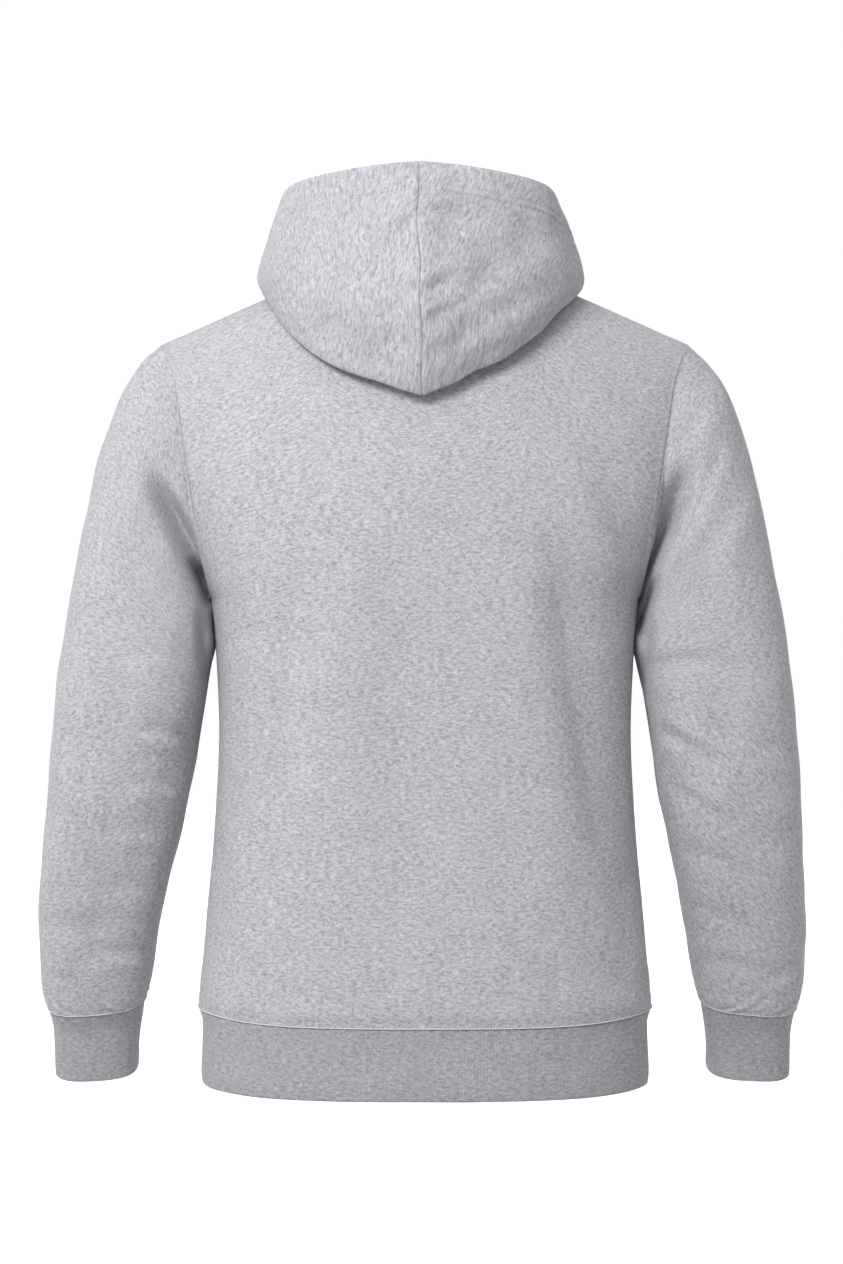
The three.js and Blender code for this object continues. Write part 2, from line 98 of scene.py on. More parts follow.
# Folds: a bent line from a to c that leans towards b, each as x and z; then width, depth of the trough
# and height of the lip on its right-hand side.
BACK_FOLDS = [
    (103, -226, 116, -380, 140, -540, -20, 4.5, 0.8), (-110, -226, -132, -380, -166, -540, -24, 7.0, 1.4),
    (22, -230, 14, -400, 26, -590, -42, 5.5, 0.6), (-58, -290, -60, -430, -78, -580, 26, 2.0, 0.6),
    (178, -250, 158, -214, 138, -150, 16, 1.4, 0.8), (-180, -250, -160, -214, -142, -140, 16, 2.0, 1.2),
    (170, -312, 140, -300, 96, -316, 24, 1.2, 0.5), (-170, -300, -140, -288, -96, -300, 26, 1.4, 0.6),
    (176, -470, 160, -540, 164, -610, 12, 1.6, 1.0), (-176, -500, -164, -560, -170, -616, 12, 1.6, 1.0),
    (120, -560, 96, -584, 60, -612, 10, 1.0, 0.6), (-20, -560, -44, -586, -60, -616, 11, 1.0, 0.5),
    (20, -586, 34, -600, 40, -618, 8, 0.9, 0.5), (-104, -580, -112, -600, -108, -618, 8, 1.0, 0.6),
    (118, -44, 90, -70, 40, -86, 26, 1.0, 0.4), (-120, -46, -84, -78, -30, -88, 24, 1.1, 0.4),
    (30, -120, 6, -132, -30, -128, 18, 0.8, 0.5),
]
FRONT_FOLDS = [
    (174, -266, 146, -214, 124, -130, 22, 1.8, 1.0), (-176, -264, -148, -208, -118, -140, 25, 1.6, 0.9),
    (160, -306, 110, -300, 50, -322, 28, 1.4, 0.6), (-164, -302, -124, -284, -70, -300, 24, 1.5, 0.5),
    (136, -380, 104, -440, 98, -540, 32, 1.3, 0.6), (-148, -366, -110, -430, -96, -520, 30, 1.4, 0.7),
    (14, -410, 24, -500, 8, -596, 34, 1.2, 0.5), (-52, -450, -60, -530, -44, -604, 26, 1.1, 0.5),
    (166, -536, 150, -578, 144, -616, 18, 1.4, 0.8), (70, -118, 40, -140, -10, -144, 24, 1.1, 0.5),
    (-80, -112, -50, -136, -14, -150, 22, 1.2, 0.5),
]
LEFT_BACK_FOLDS = [
     (200, -262, 226, -222, 262, -176, 14, 1.4, 1.0),
    (190, -330, 214, -318, 252, -322, 9, 1.4, 0.8), (196, -398, 214, -386, 244, -388, 5.5, 4.5, 2.8),
    (203, -440, 222, -428, 256, -432, 6, 2.6, 1.6), (212, -480, 236, -466, 270, -472, 8, 1.7, 0.9),
    (318, -392, 300, -404, 272, -398, 12, 1.2, 0.7), (326, -452, 304, -470, 276, -462, 11, 1.3, 0.7),
    (224, -528, 250, -516, 290, -528, 10, 1.6, 0.9), (332, -548, 306, -560, 270, -552, 11, 1.5, 0.9),
    (234, -584, 258, -574, 296, -588, 7, 2.0, 1.2), (252, -96, 262, -150, 282, -208, 18, 0.9, 0.5),
    (330, -596, 316, -604, 296, -602, 6, 1.4, 0.8),
]
LEFT_FRONT_FOLDS = [
    (192, -244, 210, -206, 238, -158, 7.5, 3.0, 2.2), (188, -262, 214, -240, 256, -196, 12, 2.2, 1.3),
    (188, -346, 214, -330, 256, -338, 9, 2.4, 1.4), (192, -404, 220, -392, 262, -402, 8, 2.6, 1.5),
    (204, -446, 232, -436, 276, -450, 9, 2.2, 1.2), (322, -420, 300, -430, 268, -420, 12, 1.4, 0.7),
    (218, -508, 246, -498, 290, -510, 10, 1.7, 0.9), (330, -530, 304, -544, 274, -534, 11, 1.5, 0.8),
    (234, -580, 262, -570, 304, -584, 8, 2.0, 1.1),
]
RIGHT_BACK_FOLDS = [
     (-212, -236, -226, -204, -252, -146, -6.5, 3.6, 2.2),
    
    (-212, -152, -224, -136, -240, -112, -7, 2.0, 1.1), (-236, -246, -252, -214, -282, -166, -10, 1.6, 1.0),
    (-188, -336, -212, -322, -246, -330, 8, 2.2, 1.3), (-196, -384, -216, -396, -250, -416, 6.5, 4.5, 2.8),
    (-204, -432, -226, -446, -262, -468, 7, 2.6, 1.6), (-214, -486, -240, -494, -280, -512, 9, 1.9, 1.0),
    (-316, -400, -296, -410, -268, -400, 12, 1.4, 0.7), (-322, -476, -300, -484, -272, -474, 11, 1.4, 0.8),
    (-222, -536, -250, -544, -292, -562, 9, 1.8, 1.0), (-234, -586, -258, -584, -298, -598, 7, 2.2, 1.2),
    (-262, -110, -274, -160, -286, -226, 18, 1.1, 0.5), (-326, -590, -310, -600, -290, -604, 7, 1.6, 0.9),
]
RIGHT_FRONT_FOLDS = [
    (-190, -248, -208, -210, -234, -150, 7, 3.1, 2.2), (-196, -268, -222, -236, -258, -188, 13, 2.0, 1.2),
    (-188, -340, -216, -332, -252, -346, 9, 2.3, 1.3), (-196, -410, -222, -402, -262, -414, 8, 2.5, 1.5),
    (-206, -452, -236, -446, -276, -462, 9, 2.1, 1.2), (-320, -430, -298, -440, -266, -432, 12, 1.5, 0.8),
    (-220, -514, -250, -508, -290, -522, 10, 1.8, 0.9), (-234, -584, -262, -576, -302, -590, 8, 2.0, 1.1),
]
# The hollows behind the armpits, pressed straight in from behind
LEFT_DENTS = [
    (180, -276, 200, -222, 227, -176, -10, 25, 0), (203, -258, 218, -216, 244, -172, 9, -3.4, 0),
    (184, -284, 190, -262, 199, -244, 4.2, 32, 0), (184, -362, 189, -322, 189, -280, 6, 14, 0),
]
RIGHT_DENTS = [
    (-178, -274, -202, -218, -226, -168, -11, 26, 0), (-202, -256, -220, -210, -244, -164, -9, -3.6, 0),
    (-181, -306, -189, -278, -196, -258, -4.8, 32, 0), (-183, -368, -189, -326, -189, -290, -6, 14, 0),
]
HOOD_LEFT_FOLDS = [
    (4, 44, 12, 32, 30, 26, -6, 2.2, 1.0), (4, -20, 14, -26, 40, -20, -7, 2.0, 1.1),
    (5, -66, 22, -62, 50, -70, -8, 1.5, 0.8), (14, 66, 44, 40, 92, 30, 15, 1.6, 0.8),
    (20, -8, 58, -14, 100, 4, 13, 1.5, 0.9), (30, -88, 62, -76, 96, -44, 9, 1.4, 0.8),
]
HOOD_RIGHT_FOLDS = [
    (-3, -22, -12, -14, -30, -8, 5, 3.6, 1.6), (-3, -48, -14, -38, -36, -34, 5.5, 3.6, 1.6),
    (-118, 40, -84, 14, -36, -20, 19, 3.8, 1.3), (-106, -12, -70, -34, -22, -64, 11, 2.6, 2.0),
    (-3, -72, -16, -66, -34, -64, 5, 2.4, 1.2), (-4, 52, -10, 44, -30, 46, 6, 2.0, 0.9),
    (-20, 68, -52, 46, -100, 48, 12, 1.5, 0.7),
]
# The deepest folds are in the frame's solids too: x1, drop1, x2, drop2, width, depth
DEEP_FOLDS = {
    ("sleeve_left", 1): [(193, 242, 234, 152, 15, 5), (203, 424, 246, 404, 13, 3)],
    ("sleeve_left", -1): [(195, 240, 236, 158, 15, 5)],
    ("sleeve_right", 1): [
        (-193, 240, -227, 141, 13.5, 6), (-219, 226, -255, 153, 13, 3.5), (-200, 414, -244, 438, 13, 3),
    ],
    ("sleeve_right", -1): [(-194, 246, -230, 150, 14, 5)],
    ("hood_left", 1): [(8, -26, 40, -10, 13, 3)],
    ("hood_right", 1): [(-8, -30, -60, -48, 13, 3.5), (-8, 32, -70, 4, 14, 4)],
}

HEM_REACH, HEM_STEPS = (0.838, 0.954), 44
NECK_STEPS, SIDE_STEPS, BODY_STEPS, ARMHOLE_STEPS = 64, 56, 92, 98
SLEEVE_STEPS, CUFF_STEPS, HOOD_STEPS, LAP_STEPS, BAND_STEPS = 160, 24, 128, 10, 24


def smooth(x, low, high):
    """Rises from 0 at low to 1 at high as 3t^2 - 2t^3."""
    t = np.clip((x - low) / (high - low), 0, 1)
    return t * t * (3 - 2 * t)


def mix(a, b, t):
    """The place a share t of the way from a to b."""
    return a + (b - a) * t


def read(table, place, column):
    """One column of a table between its rows: a cubic through the rows, whose slope at a row is the
    difference of its two neighbours over their distance."""
    rows = np.array(sorted(table), float)
    where, value = rows[:, 0], rows[:, column]
    i = np.arange(len(where))
    before, after = np.maximum(i - 1, 0), np.minimum(i + 1, len(where) - 1)
    slope = (value[after] - value[before]) / (where[after] - where[before])
    k = np.clip(np.searchsorted(where, place), 1, len(where) - 1)
    span = where[k] - where[k - 1]
    t = (place - where[k - 1]) / span
    ends = value[k - 1] * (1 + 2 * t) * (1 - t) ** 2 + value[k] * t * t * (3 - 2 * t)
    return ends + span * t * (1 - t) * (slope[k - 1] * (1 - t) - slope[k] * t)


def points(x, y, z):
    """x, y and z, spread to one shape, as an array of points."""
    return np.stack(np.broadcast_arrays(x, y, z), -1).astype(float)


def bulge(share):
    """How far out a level section stands at a share u of its half width: (1 - |u|^p)^(1/p)."""
    return (1 - np.minimum(np.abs(share), 1) ** SECTION_POWER) ** (1 / SECTION_POWER)


def dip(side, u):
    """How far the waist seam hangs below its ends: the middle's dip times 1 - |u|^5."""
    return np.where(side > 0, BACK_DIP, FRONT_DIP) * (1 - np.abs(u) ** DIP_ROUND)


def body_point(side, u, drop):
    """The back or front below the armpit: x = u * half, y = side * depth * bulge(u)."""
    depth = read(BODY, drop, 2 if side > 0 else 3)
    z = -drop - dip(side, u) * smooth(drop, ARMPIT_DROP, BODY_DROP)
    return points(u * read(BODY, drop, 1), side * depth * bulge(u), z)


def top_line(side, x):
    """The shoulder seam's straight fall, carried over the neck opening as a cubic up to its crown."""
    slope = -SHOULDER_DROP / (SHOULDER_HALF - NECK_HALF)
    crown = np.where(side > 0, NECK_BACK_CROWN, NECK_FRONT_CROWN)
    t = x / NECK_HALF
    over_neck = crown * (1 - 3 * t**2 + 2 * t**3) + slope * NECK_HALF * (t**3 - t**2)
    return np.where(x > NECK_HALF, slope * (x - NECK_HALF), over_neck)


def yoke_depth(side, x, z):
    """Depth of the yoke: its level section times (1 - (1 - b)^q)^(1/q), b being how far below the top
    line the place is, as a share of the shoulder's roll."""
    across = np.abs(x)
    drop = np.maximum(-z, SHOULDER_DROP)
    full = np.where(side > 0, read(YOKE, drop, 3), read(YOKE, drop, 4))
    section = full * bulge(x / read(YOKE, drop, 2))
    chest = mix(CHEST_POWER, SHOULDER_POWER, smooth(across, NECK_HALF, CHEST_EDGE))
    power = np.where(side > 0, SHOULDER_POWER, chest)
    below = np.clip((top_line(side, across) - z) / SHOULDER_ROLL, 0, 1)
    return section * (1 - (1 - below) ** power) ** (1 / power)


def neck_point(turn):
    """The neck seam at a turn from the centre back: x = half * sin, z = -drop * |cos|^1.1."""
    along = np.cos(np.radians(turn))
    side = np.where(along >= 0, 1, -1)
    x = NECK_HALF * np.sin(np.radians(turn))
    z = -np.where(side > 0, NECK_BACK_DROP, NECK_FRONT_DROP) * np.abs(along) ** NECK_CURVE
    return points(x, side * yoke_depth(side, x, z), z)


def yoke_point(side, u, rise):
    """The yoke at share u of its half width and a rise from the armpit to the shoulder and neck seams."""
    scoop = 0 if side > 0 else FRONT_SCOOP * np.sin(np.pi * rise) ** 2
    x = u * (read(YOKE, mix(ARMPIT_DROP, SHOULDER_DROP, rise), 1) - scoop)
    at_seam = np.abs(u) * SHOULDER_HALF
    turn = np.degrees(np.arcsin(np.minimum(at_seam / NECK_HALF, 1)))
    neck = neck_point(turn if side > 0 else 180 - turn)[..., 2]
    top = np.where(np.abs(u) < NECK_HALF / SHOULDER_HALF + 1e-6, neck, top_line(side, at_seam))
    z = mix(-ARMPIT_DROP, top, rise)
    return points(x, side * yoke_depth(side, x, z), z)


def ring_point(ring, turn):
    """A sleeve ring: middle + c * (outer - middle) + s * half depth * tilted y axis, where c and s are
    the turn's cosine and sine to the power 2 / p, and p grows from 2 at the armhole."""
    in_x, in_drop, out_x, out_drop, y, deep, tilt = (read(SLEEVE, ring, k) for k in range(1, 8))
    power = 2 / mix(2, SLEEVE_POWER, smooth(ring, 0, ARMHOLE_FADE))
    along, across = (np.sign(share) * np.abs(share) ** power for share in (np.cos(turn), np.sin(turn)))
    across = deep * across
    x = (in_x + out_x) / 2 + along * (out_x - in_x) / 2
    z = -(in_drop + out_drop) / 2 - along * (out_drop - in_drop) / 2
    return points(x, y + across * np.cos(np.radians(tilt)), z - across * np.sin(np.radians(tilt)))


def armhole_point(turn):
    """The armhole's own outline at the turn of the sleeve's rings: rise = (1 + cos(turn)) / 2."""
    rise = (1 + np.cos(turn)) / 2
    behind = (np.sin(turn) >= 0)[..., None]
    return np.where(behind, yoke_point(1, np.ones_like(turn), rise), yoke_point(-1, np.ones_like(turn), rise))


def hood_profile(side, turn, t):
    """The hood from neck seam (t = 0) to rim (t = 1): an even Catmull-Rom curve through the table's
    places and four between them, turned round the neck's middle to the seam's own bearing."""
    seam = neck_point(turn)
    bearing = np.arctan2(seam[:, 0], seam[:, 1])
    value = [read(HOOD, np.degrees(np.abs(bearing)), k) for k in range(1, 9)]
    crest, fold, full, rim = (np.stack(value[k:k + 2], -1) for k in (0, 2, 4, 6))
    hitch = smooth(turn, *HITCH_RISE) * (1 - smooth(turn, *HITCH_FALL))
    fold[:, 1] -= side * HOOD_HITCH * hitch
    neck = np.stack([np.hypot(seam[:, 0], seam[:, 1]), seam[:, 2]], -1)
    shoulder = mix(neck, crest, np.array([0.2, 0.62]))
    outside = mix(crest, fold, np.array([0.62, 0.5]))
    inside = mix(full, rim, np.array([0.45, 0.6]))
    line = np.stack([neck, shoulder, crest, outside, fold, full, inside, rim])
    last = len(line) - 1
    k = np.minimum((t * last).astype(int), last - 1)
    w = (t * last - k)[:, None, None]
    p0, p1, p2, p3 = (line[np.clip(k + s, 0, last)] for s in (-1, 0, 1, 2))
    v0, v1 = (p2 - p0) / 2, (p3 - p1) / 2
    curve = (2 * p1 - 2 * p2 + v0 + v1) * w**3 + (3 * p2 - 3 * p1 - 2 * v0 - v1) * w**2 + v0 * w + p1
    return bearing, curve[..., 0], curve[..., 1]


# Shared divisions, so that the pieces meet point for point along their seams
neck_turns = np.append([0, 0.25, 0.65], mix(1.1, 90, np.linspace(0, 1, NECK_STEPS - 2) ** 1.15))
side_turns = mix(
    math.asin((NECK_HALF / SHOULDER_HALF) ** (SECTION_POWER / 2)), math.pi / 2,
    1 - (1 - np.linspace(0, 1, SIDE_STEPS + 1)[1:]) ** 1.5,
)
def both_halves(inner):
    """Columns of a whole panel, given those from its middle to the neck's end."""
    half = np.append(NECK_HALF / SHOULDER_HALF * inner, np.sin(side_turns) ** (2 / SECTION_POWER))
    return np.concatenate([-half[:0:-1], half])


at_neck = both_halves(np.sin(np.radians(neck_turns)))
columns = both_halves(np.linspace(0, 1, len(neck_turns)))
drops = mix(BODY_DROP, ARMPIT_DROP, np.linspace(0, 1, BODY_STEPS + 1) ** 1.25)[:, None]
even = np.linspace(0, 1, ARMHOLE_STEPS + 1)[1:, None]
rises = mix(even, (1 - np.cos(np.pi * even)) / 2, np.abs(columns) ** 12)
around = np.pi + 2 * np.pi * np.arange(2 * ARMHOLE_STEPS) / (2 * ARMHOLE_STEPS)


def near_end(count, reach):
    """Even steps from 0 to 1, with four more set close to the end, where an edge turns over."""
    even = np.linspace(0, 1, count - 3)
    close = 1 - reach * np.array([0.62, 0.3, 0.1, 0.02])
    return np.sort(np.concatenate([even, close]))


def hood_rows():
    """The hood's rows from neck seam to rim, closer together where the hem's needle rows run."""
    rows = near_end(HOOD_STEPS, 0.012)
    low, high = HEM_REACH
    kept = rows[(rows < low - 0.004) | (rows > high + 0.004)]
    return np.sort(np.append(kept, np.linspace(low, high, HEM_STEPS)))


def panel_grid(side):
    """The back or the front from the waist seam up to the shoulder and neck seams."""
    below = body_point(side, columns[None, :], drops)
    return np.concatenate([below, yoke_point(side, mix(columns, at_neck, rises**10), rises)])


def band_grid():
    """The waistband from its seam down: the body's section, once round from the right side."""
    down = near_end(BAND_STEPS, 0.035)[:, None] * BAND_HEIGHT
    hang = mix(1, HEM_DIP, down / BAND_HEIGHT)
    half = read(BAND, down, 1)
    def face(side, u):
        depth = read(BAND, down, 2 if side > 0 else 3)
        return points(u * half, side * depth * bulge(u), -BODY_DROP - down - hang * dip(side, u))
    return np.concatenate([face(1, columns), face(-1, columns[-2:0:-1])], axis=1)


def sleeve_grid(places):
    """The left sleeve or cuff: rings whose outline turns from the armhole's own into an ellipse."""
    ring = places[:, None]
    keep = 1 - smooth(ring, 0, ARMHOLE_FADE)
    off = armhole_point(around) - ring_point(np.zeros_like(around), around)
    return ring_point(ring, around[None, :]) + off[None] * keep[..., None]


def hood_grid(side):
    """One half of the hood, from the centre back to past the centre front, neck seam to rim."""
    lap = np.linspace(180, 180 + HOOD_LAP, LAP_STEPS + 1)[1:]
    turn = np.concatenate([neck_turns, 180 - neck_turns[-2::-1], lap])
    t = hood_rows()
    bearing, r, z = hood_profile(side, turn, t)
    r = r + side / 2 * (FLEECE + LAP_CLEAR) * smooth(turn, LAP_START, 180 - HOOD_LAP)
    outside = smooth(t, 0.35, 0.6)[:, None] * (1 - smooth(turn, 0, 40))
    waver = 2.4 * np.exp(-(((z - 33) / 24) ** 2)) + 1.1 * np.exp(-(((z + 24) / 13) ** 2))
    waver -= 1.2 * np.exp(-(((z + 62) / 16) ** 2)) + 0.8 * np.exp(-(((z - 4) / 12) ** 2))
    x = side * r * np.sin(bearing) + HOOD_LEAN * t[:, None] + waver * outside
    return points(x, r * np.cos(bearing), z)


def mirrored(grid):
    """The same grid on the wearer's other side."""
    return grid * np.array([-1, 1, 1])


def swung(grid):
    """The right sleeve hangs closer to the body the lower it is."""
    inward = SLEEVE_SWING * smooth(-grid[..., 2], ARMPIT_DROP, BODY_DROP)
    return grid + inward[..., None] * np.array([1, 0, 0])


def run_lengths(grid, axis):
    """Distance along the cloth from the first row or column to each point."""
    step = np.linalg.norm(np.diff(grid, axis=axis), axis=-1)
    pad = [(0, 0), (0, 0)]
    pad[axis] = (1, 0)
    return np.pad(np.cumsum(step, axis=axis), pad)


def corner_sums(grid, out, closed):
    """For each point, the summed cross products of the diagonals of the faces round it."""
    full = np.concatenate([grid, grid[:, :1]], axis=1) if closed else grid
    face = out * np.cross(full[1:, 1:] - full[:-1, :-1], full[1:, :-1] - full[:-1, 1:])
    total = np.zeros_like(full)
    total[:-1, :-1] += face
    total[:-1, 1:] += face
    total[1:, 1:] += face
    total[1:, :-1] += face
    if closed:
        total[:, 0] += total[:, -1]
        total = total[:, :-1]
    return total


def shared_normals(cloths):
    """The outward direction at every point. Points of several pieces that coincide at a seam share the
    normalised sum of all their faces' directions."""
    places = np.concatenate([c.grid.reshape(-1, 3) for c in cloths])
    sums = np.concatenate([corner_sums(c.grid, c.out, c.closed).reshape(-1, 3) for c in cloths])
    keys = np.round(places * 50).astype(np.int64)
    _, group = np.unique(keys, axis=0, return_inverse=True)
    group = group.ravel()
    joint = np.stack([np.bincount(group, sums[:, k]) for k in range(3)], -1)[group]
    joint /= np.linalg.norm(joint, axis=1)[:, None]
    start = 0
    for c in cloths:
        size = c.grid.shape[0] * c.grid.shape[1]
        c.normal = joint[start:start + size].reshape(c.grid.shape)
        start += size


def stroke(x, z, a, b, c, wide, deep, lip):
    """A trough -deep * e^-(d/w)^2 along the parabola a-b-c, steeper on the side where a lip stands
    beside it, at 1.5 widths. A negative width puts the lip on the left. Both fade in and out."""
    side = math.copysign(1, wide)
    wide = abs(wide)
    t = np.linspace(0, 1, 11)
    line = np.outer((1 - t) ** 2, a) + np.outer(2 * t * (1 - t), b) + np.outer(t**2, c)
    best = np.full(x.shape, 1e9)
    signed = np.zeros(x.shape)
    share = np.zeros(x.shape)
    for k in range(len(t) - 1):
        run = line[k + 1] - line[k]
        length = np.hypot(*run)
        dx, dz = x - line[k, 0], z - line[k, 1]
        raw = (dx * run[0] + dz * run[1]) / length**2
        along = np.clip(raw, -2.0 if k == 0 else 0, 3.0 if k == len(t) - 2 else 1)
        away = np.hypot(dx - along * run[0], dz - along * run[1])
        turn = (dx * run[1] - dz * run[0]) / length
        nearer = away < best
        best = np.where(nearer, away, best)
        signed = np.where(nearer, np.sign(turn) * away, signed)
        share = np.where(nearer, t[k] + along / (len(t) - 1), share)
    ends = smooth(share, -0.12, 0.25) * (1 - smooth(share, 0.62, 1.15))
    off = side * signed / wide
    trough = -deep * np.exp(-((off * np.where(off > 0, 1.45, 0.85)) ** 2))
    return ends * (trough + lip * np.exp(-((off - 1.5) ** 2)))


def deep_stroke(x, z, x1, drop1, x2, drop2, wide, deep):
    """The frame's own folds: -deep * e^-(d/w)^2 about a straight line, fading towards its ends."""
    run = np.array([x2 - x1, drop1 - drop2], float)
    along = ((x - x1) * run[0] + (z + drop1) * run[1]) / (run @ run)
    off = ((x - x1) * run[1] - (z + drop1) * run[0]) / np.hypot(*run)
    return -deep * np.exp(-((off / wide) ** 2)) * smooth(along, -0.15, 0.25) * (1 - smooth(along, 0.6, 1.2))


def seam_relief(d, valley=0.6, ridge=0.35, place=3.2, wide=2.0):
    """Across a sewn seam: a narrow valley -v e^-(d/0.9)^2 and the turned-in allowance as a low ridge."""
    return -valley * np.exp(-((d / 0.9) ** 2)) + ridge * np.exp(-(((d - place) / wide) ** 2))


def puckers(along, d, pitch, deep, reach, phase=0.0):
    """Small gathers beside a seam: three cosines of uneven pitch along it, dying away as e^-(d/reach)."""
    wave = np.cos(along * 2 * np.pi / pitch + phase + 0.9 * np.sin(along / (pitch * 1.9) + phase))
    wave += 0.6 * np.cos(along * 2 * np.pi / (pitch * 1.63) + 2.1 * phase + 1.0)
    wave += 0.4 * np.cos(along * 2 * np.pi / (pitch * 0.71) + 0.7 * phase)
    swell = 0.65 + 0.35 * np.sin(along / (pitch * 4.3) + 1.7 * phase)
    return deep * 0.5 * wave * swell * np.exp(-d / reach)


def ripple(grid, amount, seed, least=45.0, most=150.0):
    """The slack of resting cloth: eight long sine waves of uneven direction and length."""
    rng = np.random.default_rng(seed)
    total = np.zeros(grid.shape[:2])
    for _ in range(8):
        direction = rng.normal(size=3) * np.array([1.0, 1.0, 0.7])
        direction /= np.linalg.norm(direction)
        total += np.sin(grid @ direction * 2 * np.pi / rng.uniform(least, most) + rng.uniform(0, 6.3))
    return total * amount / 2.8


class Cloth:
    """A cut piece: the outer side of its cloth as rows of points, and how it is finished."""

    def __init__(self, name, grid, out, thick, slot, closed=False, grain=0.0):
        self.name, self.grid, self.out, self.thick, self.slot = name, grid, out, thick, slot
        self.closed, self.grain = closed, grain
        self.rise = run_lengths(grid, 0)
        self.fall = self.rise[-1:] - self.rise
        self.along = run_lengths(grid, 1)
        self.back_along = self.along[:, -1:] - self.along

    def fold(self, behind=(), in_front=()):
        """Depth of the folds, read as seen from behind on the back half and from in front on the other."""
        x, z, facing = self.grid[..., 0], self.grid[..., 2], self.normal[..., 1]
        total = np.zeros(x.shape)
        for face, table in ((1, behind), (-1, in_front)):
            seen = smooth(face * facing, 0, 0.5)
            for row in table:
                total += seen * stroke(x, z, row[0:2], row[2:4], row[4:6], *row[6:])
            for row in DEEP_FOLDS.get((self.name, face), ()):
                total += seen * deep_stroke(x, z, *row)
        edge = np.minimum(smooth(self.rise, 0, 2.5 if self.closed else 7), smooth(self.fall, 0, 12))
        if not self.closed:
            edge = np.minimum(edge, np.minimum(smooth(self.along, 0, 5), smooth(self.back_along, 0, 12)))
        return total * edge


left_rings = WRIST_RING * np.linspace(0, 1, SLEEVE_STEPS + 1) ** 1.15
left = sleeve_grid(left_rings)
left_cuff = sleeve_grid(mix(WRIST_RING, CUFF_RING, near_end(CUFF_STEPS, 0.03)))
back = Cloth("back", panel_grid(1), -1, FLEECE, "fleece", grain=0.0)
front = Cloth("front", panel_grid(-1), 1, FLEECE, "fleece", grain=0.03)
waistband = Cloth("waistband", band_grid(), 1, RIB, "rib", closed=True)
sleeve_left = Cloth("sleeve_left", left, -1, FLEECE, "fleece", closed=True, grain=0.16)
sleeve_right = Cloth("sleeve_right", swung(mirrored(left)), 1, FLEECE, "fleece", closed=True, grain=0.5)
cuff_left = Cloth("cuff_left", left_cuff, -1, RIB, "rib", closed=True)
cuff_right = Cloth("cuff_right", swung(mirrored(left_cuff)), 1, RIB, "rib", closed=True)
hood_left = Cloth("hood_left", hood_grid(1), -1, FLEECE, "fleece", grain=1.25)
hood_right = Cloth("hood_right", hood_grid(-1), 1, FLEECE, "fleece", grain=-1.05)
cloths = [back, front, waistband, sleeve_left, sleeve_right, cuff_left, cuff_right, hood_left, hood_right]
shared_normals(cloths)


def press(cloth, relief):
    """Moves the cloth along its outward directions by the relief, in millimetres."""
    cloth.grid = cloth.grid + cloth.normal * relief[..., None]


def quiet(cloth, reach=18):
    """0 on the piece's sewn edges and 1 inside, so that slack doesn't part the seams."""
    edge = np.minimum(smooth(cloth.rise, 0, reach), smooth(cloth.fall, 0, reach))
    if cloth.closed:
        return edge
    return edge * np.minimum(smooth(cloth.along, 0, reach), smooth(cloth.back_along, 0, reach))


def waist_corner(cloth):
    """At its sides the waist seam stands out by 1.4 e^-(d/6)^2, where the band draws the cloth in."""
    return 1.4 * np.exp(-((cloth.rise / 6) ** 2)) * smooth(np.abs(cloth.grid[..., 0]), 176, 192)


def off_shoulder(cloth):
    """0 at the shoulder's tip, where three seams meet, and 1 from 22 mm off it."""
    x, z = np.abs(cloth.grid[..., 0]), cloth.grid[..., 2]
    return smooth(np.hypot(x - SHOULDER_HALF, z + SHOULDER_DROP), 3, 22)


def dress_panel(cloth, behind, in_front, seed):
    """Folds, slack, the gathers over the waistband, and the seams on all four edges."""
    relief = cloth.fold(behind, in_front) + ripple(cloth.grid, 0.55, seed) * quiet(cloth, 40)
    relief += puckers(cloth.along, cloth.rise, 11, 0.75, 11, seed) * smooth(cloth.rise, 1, 6)
    relief += 0.3 * np.exp(-(((cloth.rise - 13) / 6) ** 2)) + waist_corner(cloth)
    relief -= 2.0 * np.exp(-(((cloth.rise - 14) / 9) ** 2)) * smooth(np.abs(cloth.grid[..., 0]), 176, 192)
    sides = np.minimum(cloth.along, cloth.back_along)
    relief += seam_relief(cloth.rise, 0.1, 0.6, 1.8, 1.2) - 0.2 * np.exp(-(((cloth.rise - 4.6) / 1.2) ** 2))
    relief += seam_relief(np.minimum(cloth.fall, sides), 0.3, 0.4, 3.1, 2.2) * off_shoulder(cloth)
    relief += puckers(cloth.rise, sides, 13, 0.3, 7, seed + 1) * smooth(sides, 0, 3)
    press(cloth, relief)


ARMPIT_PRESS = 1.5


def dent(cloth, table):
    """Presses hollows straight in from behind: the strokes' own depth along y."""
    x, z = cloth.grid[..., 0], cloth.grid[..., 2]
    total = sum(stroke(x, z, row[0:2], row[2:4], row[4:6], *row[6:]) for row in table)
    total = total * smooth(cloth.normal[..., 1], -0.1, 0.15) * smooth(cloth.rise, 0, 3)
    cloth.grid = cloth.grid + total[..., None] * np.array([0, 1, 0])


